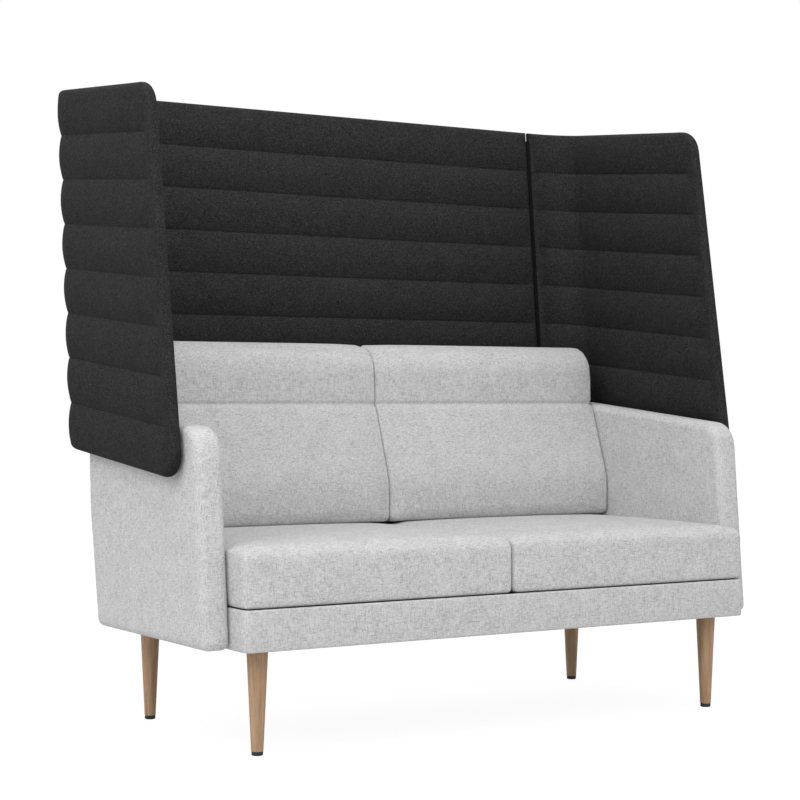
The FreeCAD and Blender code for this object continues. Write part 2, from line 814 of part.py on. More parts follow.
def seam_slots():
    """Flat slots along every quilting line, across the whole sofa."""
    slots = []
    for channel in range(1, int(number("channel_count"))):
        near = "front"
        far = "rear + screen_drop"
        half = "seam_width / 2"
        low_near, low_far = quilt_level(near, str(channel)), quilt_level(far, str(channel))
        corners = [
            (near, f"{low_near} - {half}"), (far, f"{low_far} - {half}"),
            (far, f"{low_far} + {half}"), (near, f"{low_near} + {half}"),
        ]
        slots.append(slab(f"seam_slot_{channel}", "YZ_Plane", corners, "2 * overall_width", "-overall_width"))
    return group("seam_slots", slots)


def bent_layer(label, inner, outer):
    """Layer of the right side screen between two offsets from its middle, bent round the rear corner."""
    start = "back_screen_half + screen_gap"
    turn_x = "screen_mid - screen_bend_radius"
    turn_y = f"{floor_mid} - screen_bend_radius"
    end = "front - screen_drop"
    corners = [
        (start, f"{floor_mid} + {inner}"), (turn_x, f"{floor_mid} + {inner}"),
        (f"screen_mid + {inner}", turn_y), (f"screen_mid + {inner}", end),
        (f"screen_mid + {outer}", end), (f"screen_mid + {outer}", turn_y),
        (turn_x, f"{floor_mid} + {outer}"), (start, f"{floor_mid} + {outer}"),
    ]
    arcs = {1: f"-(screen_bend_radius + {inner})", 5: f"screen_bend_radius + {outer}"}
    return slab(label, "XY_Plane", corners, lean_length, arcs=arcs, along=lean_way)


def flat_layer(label, inner, outer):
    """Layer of the back screen between two offsets from its middle."""
    half = "back_screen_half"
    corners = [
        (f"-{half}", f"{floor_mid} + {inner}"), (half, f"{floor_mid} + {inner}"),
        (half, f"{floor_mid} + {outer}"), (f"-{half}", f"{floor_mid} + {outer}"),
    ]
    return slab(label, "XY_Plane", corners, lean_length, along=lean_way)


wing = wing_outline("screen_side_view")
slots = seam_slots()
board_half = "screen_board / 2"
seam_half = "(screen_board / 2 + pad_seam)"
crest_half = "(screen_board / 2 + pad_seam + pad_puff)"


def screen(name, layer, holes):
    """Board and two quilted pads of one screen, trimmed to the side view."""
    board = common(f"{name}_board_trim", layer(f"{name}_board_layer", f"-{board_half}", board_half), wing)
    faces = {
        "inner": ((f"-{crest_half}", f"-{board_half}"), (f"-{crest_half}", f"-{seam_half}")),
        "outer": ((board_half, crest_half), (seam_half, crest_half)),
    }
    made = {"board": cut(f"{name}_board_bolted", board, holes)}
    for side, (whole, puff) in faces.items():
        blank = common(f"{name}_{side}_trim", layer(f"{name}_{side}_layer", *whole), wing)
        seams = common(f"{name}_{side}_seams", layer(f"{name}_{side}_puff", *puff), slots)
        pad = cut(f"{name}_{side}_quilt", blank, seams)
        made[side] = cut(f"{name}_{side}_bolted", pad, holes) if side == "inner" else pad
    return made


def screens():
    side = screen("side", bent_layer, screen_bolt_pair)
    for part, label in (("board", "screen_side_board"), ("inner", "screen_side_inner_pad"),
                        ("outer", "screen_side_outer_pad")):
        piece(side[part], label + "_right")
        piece(mirrored(side[part], label + "_twin"), label + "_left")
    back = screen("back", flat_layer, spacers)
    piece(back["board"], "screen_back_board")
    piece(back["inner"], "screen_back_front_pad")
    piece(back["outer"], "screen_back_rear_pad")


def joint_strip():
    """Black strip between the back screen and the right side screen, stopping short of their tops."""
    half = "back_screen_half"
    corners = [
        (half, f"{floor_mid} - strip_depth / 2"), (f"{half} + screen_gap", f"{floor_mid} - strip_depth / 2"),
        (f"{half} + screen_gap", f"{floor_mid} + strip_depth / 2"), (half, f"{floor_mid} + strip_depth / 2"),
    ]
    bar = slab("strip_bar", "XY_Plane", corners, lean_length, along=lean_way)
    low = quilt_level("rear", "channel_count")
    height = f"overall_height - strip_top_drop - ({low})"
    trim = box("strip_trim", centred("2 * overall_width"), centred("2 * overall_depth"), (low, height))
    strip = common("strip_right", bar, trim)
    piece(strip, "screen_joint_strip_right")
    piece(mirrored(strip, "strip_left"), "screen_joint_strip_left")


screens()
joint_strip()

# Check and write every sub-part
doc.recompute()
for target in doc.Objects:
    if any(word in target.State for word in ("Invalid", "Error")):
        raise RuntimeError(f"{target.Name} failed: {target.State}")
os.makedirs("parts", exist_ok=True)
for target in pieces:
    shape = target.Shape
    if shape.isNull() or not shape.isValid() or not shape.Solids:
        raise RuntimeError(f"{target.Label} has no sound solid")
    shape.exportStep(f"parts/{target.Label}.step")
print(len(pieces), "sub-parts written")
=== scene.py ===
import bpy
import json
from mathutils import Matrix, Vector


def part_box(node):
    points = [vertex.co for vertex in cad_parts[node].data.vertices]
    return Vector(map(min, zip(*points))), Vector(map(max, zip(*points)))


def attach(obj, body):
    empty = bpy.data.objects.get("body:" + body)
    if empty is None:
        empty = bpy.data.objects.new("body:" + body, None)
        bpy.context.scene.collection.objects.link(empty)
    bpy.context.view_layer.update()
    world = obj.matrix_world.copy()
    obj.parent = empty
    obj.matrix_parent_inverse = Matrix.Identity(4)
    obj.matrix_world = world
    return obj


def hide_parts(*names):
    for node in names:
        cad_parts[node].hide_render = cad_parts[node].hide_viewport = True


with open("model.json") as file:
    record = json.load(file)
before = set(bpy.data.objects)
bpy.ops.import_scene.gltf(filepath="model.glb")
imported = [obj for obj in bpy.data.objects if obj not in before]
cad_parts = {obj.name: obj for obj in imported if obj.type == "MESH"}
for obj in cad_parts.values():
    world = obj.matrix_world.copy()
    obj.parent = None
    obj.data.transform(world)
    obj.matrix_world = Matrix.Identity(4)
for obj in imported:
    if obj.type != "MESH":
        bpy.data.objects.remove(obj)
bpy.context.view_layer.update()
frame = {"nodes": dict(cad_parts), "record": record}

import json
import math

import bmesh
import bpy
import numpy as np
from mathutils import Vector, noise

scene = bpy.context.scene
scene.view_settings.view_transform = "Standard"
nodes = frame["nodes"]

# sofa sizes shared by several pieces, metres
sofa = {
    "front": -0.4075, "rear": 0.4075, "height": 1.38,
    "baseBottom": 0.208, "baseTop": 0.29, "baseSide": 0.6264,
    "rearFoot": 0.184, "kneeHeight": 0.45, "lowTan": math.tan(math.radians(10.3)),
    "highTan": math.tan(math.radians(3.0)), "fall": math.tan(math.radians(5.5)),
}
print("frame loaded,", len(nodes), "nodes")


# mesh helpers
def meshObject(name, verts, faces, merge=0.0):
    mesh = bpy.data.meshes.new(name)
    mesh.from_pydata([tuple(v) for v in verts], [], [tuple(f) for f in faces])
    bm = bmesh.new()
    bm.from_mesh(mesh)
    if merge:
        bmesh.ops.remove_doubles(bm, verts=bm.verts, dist=merge)
    bmesh.ops.recalc_face_normals(bm, faces=bm.faces)
    bm.to_mesh(mesh)
    bm.free()
    mesh.polygons.foreach_set("use_smooth", [True] * len(mesh.polygons))
    obj = bpy.data.objects.new(name, mesh)
    scene.collection.objects.link(obj)
    return obj


def coords(obj):
    flat = np.zeros(len(obj.data.vertices) * 3)
    obj.data.vertices.foreach_get("co", flat)
    return flat.reshape(-1, 3)


def setCoords(obj, points):
    obj.data.vertices.foreach_set("co", np.asarray(points, float).ravel())
    obj.data.update()


def mirrorObject(source, name):
    twin = bpy.data.objects.new(name, source.data.copy())
    scene.collection.objects.link(twin)
    points = coords(twin)
    points[:, 0] *= -1
    setCoords(twin, points)
    twin.data.flip_normals()
    return twin


def roundedLoop(corners, radii, gap=0.008):
    # closed line through the corners, rounded, with points about gap apart
    count = len(corners)
    line = []
    for i in range(count):
        here = Vector(corners[i])
        toPrev = (Vector(corners[i - 1]) - here).normalized()
        toNext = (Vector(corners[(i + 1) % count]) - here).normalized()
        if radii[i] <= 0:
            line.append(here)
            continue
        half = toPrev.angle(toNext) / 2
        reach = radii[i] / math.tan(half)
        centre = here + (toPrev + toNext).normalized() * radii[i] / math.sin(half)
        first, last = here + toPrev * reach - centre, here + toNext * reach - centre
        turn = first.angle_signed(last)
        steps = max(6, int(abs(turn) * radii[i] / (gap * 0.6)))
        start = math.atan2(first.y, first.x)
        for j in range(steps + 1):
            angle = start - turn * j / steps
            line.append(centre + radii[i] * Vector((math.cos(angle), math.sin(angle))))
    dense = []
    for i, here in enumerate(line):
        after = line[(i + 1) % len(line)]
        parts = max(1, int((after - here).length / gap))
        dense += [here.lerp(after, j / parts) for j in range(parts)]
    return np.array([tuple(p) for p in dense])


def insetLoop(loop, amount):
    ahead, behind = np.roll(loop, -1, 0), np.roll(loop, 1, 0)
    along = ahead - behind
    along /= np.linalg.norm(along, axis=1)[:, None]
    inward = np.stack([-along[:, 1], along[:, 0]], 1)
    return loop + inward * amount


def loopDistance(points, loop):
    # shortest distance from each 2D point to a closed line
    best = np.full(len(points), 9.0)
    for a, b in zip(loop, np.roll(loop, -1, 0)):
        step = b - a
        span = max(step @ step, 1e-12)
        t = np.clip(((points - a) @ step) / span, 0, 1)
        best = np.minimum(best, np.linalg.norm(points - a - t[:, None] * step, axis=1))
    return best


def rowSpan(loop, level, slope):
    # lowest and highest depth where the line z = level + slope * y crosses a closed (y, z) line
    over = loop[:, 1] - level - slope * loop[:, 0]
    after = np.roll(over, -1)
    cross = np.nonzero(over * after < 0)[0]
    ends = np.roll(loop, -1, 0)
    t = over[cross] / (over[cross] - after[cross])
    depth = loop[cross, 0] + t * (ends[cross, 0] - loop[cross, 0])
    return depth.min(), depth.max()


def smooth(low, high, value):
    t = np.clip((value - low) / (high - low), 0, 1)
    return t * t * (3 - 2 * t)


def bullnose(distance, radius, power=2.0):
    t = np.clip(distance / radius, 0, 1)
    return (1 - (1 - t) ** power) ** (1 / power)


def ripple(points, size, seed):
    return np.array([noise.noise(Vector(p) / size + Vector((seed, 2.3 * seed, 0.7))) for p in points])


edgeSteps = np.array([0, 0.0004, 0.0012, 0.0025, 0.0045, 0.007, 0.010, 0.014, 0.019, 0.025, 0.032])


def spread(low, high, count):
    # places from low to high, close together at both ends
    middle = np.linspace(low + edgeSteps[-1], high - edgeSteps[-1], count)[1:-1]
    return np.concatenate([low + edgeSteps, middle, high - edgeSteps[::-1]])


def twoFaces(name, outer, inner, rows, cols, strip):
    # closed panel from two grids, joined along their rim by merging or by a strip of faces
    verts = np.concatenate([outer.reshape(-1, 3), inner.reshape(-1, 3)])
    size = rows * cols
    faces = []
    for r in range(rows - 1):
        for c in range(cols - 1):
            a = r * cols + c
            quad = (a, a + 1, a + cols + 1, a + cols)
            faces.append(quad)
            faces.append(tuple(size + i for i in reversed(quad)))
    if strip:
        rim = list(range(cols - 1)) + [r * cols + cols - 1 for r in range(rows - 1)]
        rim += [(rows - 1) * cols + c for c in range(cols - 1, 0, -1)] + [r * cols for r in range(rows - 1, 0, -1)]
        for a, b in zip(rim, rim[1:] + rim[:1]):
            faces.append((b, a, size + a, size + b))
    return meshObject(name, verts, faces, 1e-6)


# quilted screens
quilt = {
    "lean": math.tan(math.radians(5.5)), "channels": 8, "pitch": 0.098,
    "seamHalf": 0.0094, "puff": 0.0066, "edgeHalf": 0.0125, "edgeRadius": 0.0105, "border": (0.01, 0.046),
    "over": 0.04, "under": 0.02, "arch": 2.05, "pinch": 0.0007, "pinchWidth": 0.0016, "rimLift": 0.002,
    "wave": 0.0012, "waveSize": 0.09, "waveFade": 0.03, "plainEnd": 0.014, "thick": 0.032, "fill": 0.8,
    "seamStart": 0.008, "wingStop": 0.034, "seamPoints": 120, "sidePoints": 86, "backPoints": 96,
    "sideSeed": 3.1, "backSeed": 7.7, "outlineGap": 0.004, "beyondRear": 0.6,
    "bend": 0.09, "mid": 0.704, "gapStart": 0.597, "backHalf": 0.588,
    "wingToe": -0.2765, "wingTan": math.tan(math.radians(9.25)), "topRadius": 0.06, "footRadius": 0.045,
}
quilt["floorMid"] = sofa["rear"] - quilt["thick"] / 2 - sofa["height"] * quilt["lean"]
quilt["straight"] = quilt["mid"] - quilt["bend"] - quilt["gapStart"] + quilt["bend"] * math.pi / 2


def quiltLine(depth, channel):
    sunk = channel * quilt["pitch"]
    return sofa["height"] - sunk + sofa["fall"] * (depth - sofa["rear"] + sunk * quilt["lean"])


def quiltRows():
    # channel positions of the mesh rows, close together at the edges and the seams
    inside = np.array([0.012, 0.035, 0.07, 0.12, 0.18, 0.25, 0.33, 0.42, 0.5])
    inside = np.concatenate([inside, 1 - inside[-2::-1]])
    edge = edgeSteps / quilt["pitch"]
    total = quilt["channels"]
    rows = [edge - quilt["over"], np.array([0.42, 0.5, 0.58, 0.67, 0.75, 0.82, 0.88, 0.93, 0.965, 0.988])]
    for channel in range(1, total - 1):
        rows.append(channel + np.concatenate([[0], inside]))
    rows.append(np.array([total - 1.0]))
    rows += [total - 1 + inside[:9], total + quilt["under"] - edge[::-1]]
    rows = np.concatenate(rows)
    return np.clip(rows, 1e-5 - quilt["over"], total + quilt["under"] - 1e-5)


def quiltHalf(channel, toEdge, toSide):
    # half thickness of a screen: puffed between seams, plain along its border, rounded off at its rim
    channel = np.clip(channel, 0, quilt["channels"] - 1e-6)
    t = channel - np.floor(channel)
    arch = 1 - np.abs(2 * t - 1) ** quilt["arch"]
    pinch = np.exp(-(np.minimum(t, 1 - t) * quilt["pitch"] / quilt["pinchWidth"]) ** 2)
    last = quilt["channels"] - 1
    outerHalf = ((channel < 0.5) | (channel > last + 0.5)).astype(float)
    low = quilt["seamHalf"] + outerHalf * quilt["rimLift"]
    puffed = low + (quilt["seamHalf"] + quilt["puff"] - low) * arch - quilt["pinch"] * pinch * (1 - outerHalf)
    plain = smooth(*quilt["border"], toSide)
    half = puffed * plain + quilt["edgeHalf"] * (1 - plain)
    radius = quilt["edgeRadius"]
    return half - radius + radius * bullnose(toEdge, radius)


def sidePath(s):
    # plan of the right side screen from the gap round the bend and forward: place, outward normal
    run = quilt["mid"] - quilt["bend"] - quilt["gapStart"]
    arc = quilt["bend"] * math.pi / 2
    angle = np.clip((s - run) / quilt["bend"], 0, math.pi / 2)
    ahead = np.maximum(s - run - arc, 0)
    x = quilt["gapStart"] + np.minimum(s, run) + quilt["bend"] * np.sin(angle)
    y = quilt["floorMid"] - quilt["bend"] * (1 - np.cos(angle)) - ahead
    return x, y, np.sin(angle), np.cos(angle)


def backPath(s):
    flat = np.zeros_like(s)
    return s - quilt["backHalf"], flat + quilt["floorMid"], flat, flat + 1


def rowLength(channel, wing):
    # length of one row along the path; a wing is cut off by its outline
    if wing is None:
        return 2 * quilt["backHalf"]
    level = quiltLine(0, channel)
    tip = rowSpan(wing, level, sofa["fall"])[0]
    tipHeight = level + sofa["fall"] * tip
    return quilt["straight"] + quilt["floorMid"] - quilt["bend"] - (tip - tipHeight * quilt["lean"])


def rowPlaces(path, wing, channel, s, length):
    # middle of the screen along one row, its normals, half thickness and distance to the rim
    sunk = channel * quilt["pitch"]
    x, y, normalX, normalY = path(s)
    level = sofa["height"] - sunk + sofa["fall"] * (y - sofa["rear"] + sunk * quilt["lean"])
    z = level / (1 - sofa["fall"] * quilt["lean"])
    depth = y + z * quilt["lean"]
    toTop = min(channel + quilt["over"], quilt["channels"] + quilt["under"] - channel) * quilt["pitch"]
    toEdge = np.minimum(np.minimum(s, length - s), toTop)
    toSide = np.minimum(s + quilt["plainEnd"], length - s + (quilt["plainEnd"] if wing is None else 0))
    if wing is not None:
        flat = s > quilt["straight"]
        toEdge[flat] = np.minimum(toEdge[flat], loopDistance(np.stack([depth, z], 1)[flat], wing))
    half = quiltHalf(np.full_like(s, channel), toEdge, toSide)
    normals = np.stack([normalX, normalY, np.zeros_like(s)], 1)
    return np.stack([x, depth, z], 1), normals, half, toEdge


def screenPanel(name, path, wing, middle, seed):
    grids = {1: [], -1: []}
    for channel in quiltRows():
        length = rowLength(channel, wing)
        s = spread(0, length, middle)
        places, normals, half, toEdge = rowPlaces(path, wing, channel, s, length)
        for side in (1, -1):
            fade = np.clip(toEdge / quilt["waveFade"], 0, 1)
            soft = ripple(places + side * normals, quilt["waveSize"], seed) * quilt["wave"] * fade
            grids[side].append(places + normals * (side * (half + soft))[:, None])
    outer, inner = np.array(grids[1]), np.array(grids[-1])
    return twoFaces(name, outer, inner, outer.shape[0], outer.shape[1], True)


def seamLines(path, wing, frontStop):
    # the sewn lines between channels, on both faces
    lines = []
    for channel in range(1, quilt["channels"]):
        length = rowLength(channel, wing)
        s = np.linspace(quilt["seamStart"], length - frontStop, quilt["seamPoints"])
        places, normals, half, _ = rowPlaces(path, wing, channel, s, length)
        lines += [places + normals * (side * half)[:, None] for side in (1, -1)]
    return lines


def wingOutline():
    head, foot = -quilt["over"], quilt["channels"] + quilt["under"]
    toeLevel, headLevel = quiltLine(quilt["wingToe"], foot), quiltLine(quilt["wingToe"], head)
    rise = (headLevel - toeLevel) / (1 - quilt["wingTan"] * sofa["fall"])
    far = quilt["beyondRear"]
    corners = [
        (quilt["wingToe"], toeLevel), (far, quiltLine(far, foot)), (far, quiltLine(far, head)),
        (quilt["wingToe"] + rise * quilt["wingTan"], toeLevel + rise),
    ]
    return roundedLoop(corners, [quilt["footRadius"], 0, 0, quilt["topRadius"]], quilt["outlineGap"])


def makeScreens():
    wing = wingOutline()
    right = screenPanel("quilted_screen_right", sidePath, wing, quilt["sidePoints"], quilt["sideSeed"])
    left = mirrorObject(right, "quilted_screen_left")
    back = screenPanel("quilted_screen_back", backPath, None, quilt["backPoints"], quilt["backSeed"])
    for obj, side in ((right, "right"), (left, "left")):
        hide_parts(f"screen_side_board_{side}", f"screen_side_inner_pad_{side}",
                    f"screen_side_outer_pad_{side}")
    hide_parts("screen_back_board", "screen_back_front_pad", "screen_back_rear_pad")
    return [right, left, back]


screens = makeScreens()
print("screens made")


# soft pieces
loftStep = 0.012
clothFrames = 20


def loft(name, loop, width, radius, offset):
    # profile carried across the sofa between rounded ends
    turn = np.linspace(0, math.pi / 2, 6)
    end = list(zip(radius * (1 - np.cos(turn)), radius * (1 - np.sin(turn))))
    middle = np.linspace(radius, width - radius, int(width / loftStep))[1:-1]
    stations = end + [(m, 0.0) for m in middle] + [(width - e, i) for e, i in reversed(end)]
    verts, faces = [], []
    size = len(loop)
    for x, inset in stations:
        ring = insetLoop(loop, inset)
        verts += [(offset + x, y, z) for y, z in ring]
    for k in range(len(stations) - 1):
        for i in range(size):
            j = (i + 1) % size
            faces.append((k * size + i, k * size + j, (k + 1) * size + j, (k + 1) * size + i))
    faces.append(tuple(range(size)))
    faces.append(tuple(range((len(stations) - 1) * size, len(stations) * size)))
    return meshObject(name, verts, faces)


def remesh(obj, voxel):
    modifier = obj.modifiers.new("remesh", "REMESH")
    modifier.mode = "VOXEL"
    modifier.voxel_size = voxel
    modifier.use_smooth_shade = True
    bake(obj)


def bake(obj):
    # applies the modifiers by swapping in the evaluated mesh
    graph = bpy.context.evaluated_depsgraph_get()
    mesh = bpy.data.meshes.new_from_object(obj.evaluated_get(graph))
    obj.modifiers.clear()
    obj.data = mesh
    mesh.polygons.foreach_set("use_smooth", [True] * len(mesh.polygons))


def puffUp(obj, cap, still):
    # blows the cover outward with a cloth simulation, capped, and held where still is 1
    start, outward = coords(obj), normalsOf(obj)
    modifier = obj.modifiers.new("cloth", "CLOTH")
    cloth = modifier.settings
    cloth.quality = 4
    cloth.mass = 0.3
    cloth.tension_stiffness = cloth.compression_stiffness = cloth.shear_stiffness = 18
    cloth.bending_stiffness = 0.6
    cloth.use_pressure = True
    cloth.uniform_pressure_force = 4
    cloth.effector_weights.gravity = 0
    modifier.collision_settings.use_collision = False
    modifier.point_cache.frame_end = clothFrames
    for step in range(1, clothFrames + 1):
        scene.frame_set(step)
    graph = bpy.context.evaluated_depsgraph_get()
    ended = np.zeros(len(start) * 3)
    obj.evaluated_get(graph).data.vertices.foreach_get("co", ended)
    move = ended.reshape(-1, 3) - start
    obj.modifiers.clear()
    scene.frame_set(1)
    swell = np.clip((move * outward).sum(1), 0, cap) * (1 - still)
    setCoords(obj, start + outward * swell[:, None])


def normalsOf(obj):
    flat = np.zeros(len(obj.data.vertices) * 3, np.float32)
    obj.data.vertices.foreach_get("normal", flat)
    return flat.reshape(-1, 3)


def relax(obj, times):
    modifier = obj.modifiers.new("smooth", "SMOOTH")
    modifier.iterations = times
    modifier.factor = 0.5
    bake(obj)


def refine(obj):
    modifier = obj.modifiers.new("subdivision", "SUBSURF")
    modifier.levels = modifier.render_levels = 1
    bake(obj)


seat = {
    "front": -0.4025, "rear": 0.1415, "bottom": 0.2902, "top": 0.404, "crown": 0.010,
    "width": 0.6255, "offset": 0.0004, "cap": 0.006, "voxel": 0.007, "radii": [0.006, 0.012, 0.014, 0.02],
    "endRadius": 0.009, "crownFrom": (0.35, 0.4), "crownPower": 2.6, "heldEnd": 0.05,
    "mostForward": 0.002, "mostBack": 0.144, "fill": 0.85,
}


def makeSeats():
    corners = [(seat["front"], seat["bottom"]), (seat["rear"], seat["bottom"]),
               (seat["rear"], seat["top"]), (seat["front"], seat["top"])]
    loop = roundedLoop(corners, seat["radii"])
    obj = loft("seat_cushion_right", loop, seat["width"], seat["endRadius"], seat["offset"])
    remesh(obj, seat["voxel"])
    points = coords(obj)
    across = (points[:, 0] - seat["offset"]) / seat["width"] * 2 - 1
    deep = (points[:, 1] - seat["front"]) / (seat["rear"] - seat["front"]) * 2 - 1
    crown = (1 - np.abs(across) ** seat["crownPower"]) * (1 - np.abs(deep) ** seat["crownPower"])
    points[:, 2] += seat["crown"] * crown * smooth(*seat["crownFrom"], points[:, 2])
    setCoords(obj, points)
    normals = normalsOf(obj)
    still = np.maximum(smooth(0.3, 0.8, -normals[:, 2]), smooth(0.4, 0.9, normals[:, 1]))
    ends = np.minimum(points[:, 0] - seat["offset"], seat["offset"] + seat["width"] - points[:, 0])
    puffUp(obj, seat["cap"], np.maximum(still, 1 - smooth(0.0, seat["heldEnd"], ends)))
    relax(obj, 2)
    points = coords(obj)
    points[:, 0] = np.clip(points[:, 0], seat["offset"], seat["offset"] + seat["width"])
    points[:, 2] = np.maximum(points[:, 2], seat["bottom"])
    points[:, 1] = np.clip(points[:, 1], sofa["front"] - seat["mostForward"], seat["mostBack"])
    setCoords(obj, points)
    refine(obj)
    twin = mirrorObject(obj, "seat_cushion_left")
    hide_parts("seat_cover_right", "seat_foam_right")
    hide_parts("seat_cover_left", "seat_foam_left")
    return [obj, twin]


back = {
    "bottom": 0.4125, "front": 0.084, "lumbar": 0.5, "crease": 0.683, "creaseDepth": 0.1525,
    "rollFront": 0.1545, "top": 0.8235, "cap": 0.7705, "spine": 0.0525,
    "width": 0.6255, "offset": 0.0004, "swell": 0.004, "voxel": 0.007, "valley": 0.007, "valleyWidth": 0.028,
    "valleyFrom": (0.42, 0.46),
    "radii": [0.013, 0.008, 0, 0, 0.006, 0.018, 0.07, 0.02, 0, 0.02, 0.17], "endRadius": 0.006, "heldEnd": 0.06,
    "creaseWidth": 0.0045, "creaseSunk": 0.0055, "creaseReach": 0.185, "creaseLip": 0.012, "creaseStep": 0.009,
    "tuck": 0.002, "lapInset": 0.001, "fill": 0.85,
}


def rearLine(z, inset):
    knee = sofa["rearFoot"] + (sofa["kneeHeight"] - sofa["baseBottom"]) * sofa["lowTan"]
    low = sofa["rearFoot"] + (z - sofa["baseBottom"]) * sofa["lowTan"]
    high = knee + (z - sofa["kneeHeight"]) * sofa["highTan"]
    return (low if z < sofa["kneeHeight"] else high) - inset


def makeBacks():
    cap, spine, knee = back["cap"], back["spine"], sofa["kneeHeight"]
    lapDepth, lip = rearLine(cap, back["lapInset"]), back["creaseLip"]
    corners = [
        (back["front"] + back["tuck"], back["bottom"]), (rearLine(back["bottom"], spine), back["bottom"]),
        (rearLine(knee, spine), knee), (rearLine(cap, spine), cap), (lapDepth, cap), (lapDepth, back["top"]),
        (back["rollFront"], back["top"]), (back["rollFront"] - back["tuck"], back["crease"] + lip),
        (back["creaseDepth"], back["crease"]), (back["creaseDepth"] - back["creaseStep"], back["crease"] - lip),
        (back["front"], back["lumbar"]),
    ]
    loop = roundedLoop(corners, back["radii"])
    obj = loft("back_cushion_right", loop, back["width"], back["endRadius"], back["offset"])
    remesh(obj, back["voxel"])
    normals = normalsOf(obj)
    still = np.maximum(smooth(0.1, 0.5, normals[:, 1]), smooth(0.4, 0.9, -normals[:, 2]))
    ends = coords(obj)[:, 0] - back["offset"]
    ends = np.minimum(ends, back["width"] - ends)
    puffUp(obj, back["swell"], np.maximum(still, 1 - smooth(0.0, back["heldEnd"], ends)))
    relax(obj, 2)
    refine(obj)
    points, normals = coords(obj), normalsOf(obj)
    valley = back["valley"] * np.exp(-(points[:, 0] - back["offset"]) / back["valleyWidth"])
    valley *= (1 - smooth(0.5, 0.95, np.abs(normals[:, 0]))) * (1 - smooth(-0.1, 0.4, normals[:, 1]))
    points -= normals * (valley * smooth(*back["valleyFrom"], points[:, 2]))[:, None]
    crease = np.exp(-((points[:, 2] - back["crease"]) / back["creaseWidth"]) ** 2)
    points[:, 1] += back["creaseSunk"] * crease * (points[:, 1] < back["creaseReach"])
    points[:, 0] = np.clip(points[:, 0], back["offset"], back["offset"] + back["width"])
    points[:, 2] = np.maximum(points[:, 2], back["bottom"])
    setCoords(obj, points)
    twin = mirrorObject(obj, "back_cushion_left")
    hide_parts("back_cover_right", "back_foam_right")
    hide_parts("back_cover_left", "back_foam_left")
    return [obj, twin]


seats = makeSeats()
print("seat cushions made")
backs = makeBacks()
print("back cushions made")


arm = {
    "toe": -0.3505, "lean": math.tan(math.radians(5)), "ridge": 0.636, "rearInset": 0.008,
    "inner": 0.6267, "thickness": 0.061, "radius": 0.018,
    "radii": [0.016, 0.016, 0.25, 0.02, 0.058], "loopGap": 0.005, "above": 0.02, "edge": [0.04, 0.05, 0.06],
    "rows": 30, "columns": 44, "wave": 0.0008, "waveSize": 0.11, "waveFade": 0.02, "fill": 0.9,
}


def makeArms():
    inset, knee = arm["rearInset"], sofa["kneeHeight"]
    rise = arm["ridge"] - sofa["baseBottom"]
    brow = arm["toe"] + rise * arm["lean"]
    run = rearLine(arm["ridge"], inset) - brow
    crest = arm["ridge"] + run * sofa["fall"] / (1 - sofa["highTan"] * sofa["fall"])
    corners = [
        (arm["toe"], sofa["baseBottom"]), (rearLine(sofa["baseBottom"], inset), sofa["baseBottom"]),
        (rearLine(knee, inset), knee), (rearLine(crest, inset), crest), (brow, arm["ridge"]),
    ]
    loop = roundedLoop(corners, arm["radii"], arm["loopGap"])
    tall = rise + arm["above"]
    edge = np.concatenate([edgeSteps, arm["edge"]]) / tall
    levels = np.concatenate([edge, np.linspace(edge[-1], 1 - edge[-1], arm["rows"])[1:-1], 1 - edge[::-1]])
    levels = np.clip(levels, 1e-5, 1 - 1e-5)
    outer, inner = [], []
    centre = arm["inner"] + arm["thickness"] / 2
    flat = arm["thickness"] / 2 - arm["radius"]
    for level in levels:
        slope = level * sofa["fall"]
        start = sofa["baseBottom"] + level * (arm["ridge"] - sofa["fall"] * brow - sofa["baseBottom"])
        low, high = rowSpan(loop, start, slope)
        depth = spread(low, high, arm["columns"])
        z = start + slope * depth
        toEdge = loopDistance(np.stack([depth, z], 1), loop)
        half = flat + arm["radius"] * bullnose(toEdge, arm["radius"])
        for grid, side in ((outer, 1), (inner, -1)):
            place = np.stack([centre + side * half, depth, z], 1)
            wave = (ripple(place, arm["waveSize"], 5 + side) - 1.0) * np.clip(toEdge / arm["waveFade"], 0, 1)
            place[:, 0] += side * arm["wave"] * wave
            grid.append(place)
    outer, inner = np.array(outer), np.array(inner)
    right = twoFaces("arm_right", outer, inner, outer.shape[0], outer.shape[1], True)
    left = mirrorObject(right, "arm_left")
    for obj, side in ((right, "right"), (left, "left")):
        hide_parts(f"arm_cover_{side}", f"arm_foam_{side}")
    return [right, left]


base = {
    "corner": 0.012, "half": 0.004, "rear": 0.179, "gap": 0.006, "edge": 0.0035, "swell": 0.0012, "rows": 6,
    "fill": 0.9,
}


def bandPath(corners, radii):
    # open line with rounded corners, and its outward normals
    loop = roundedLoop(corners, radii, base["gap"])
    along = np.gradient(loop, axis=0)
    along /= np.linalg.norm(along, axis=1)[:, None]
    return loop, np.stack([along[:, 1], -along[:, 0]], 1)


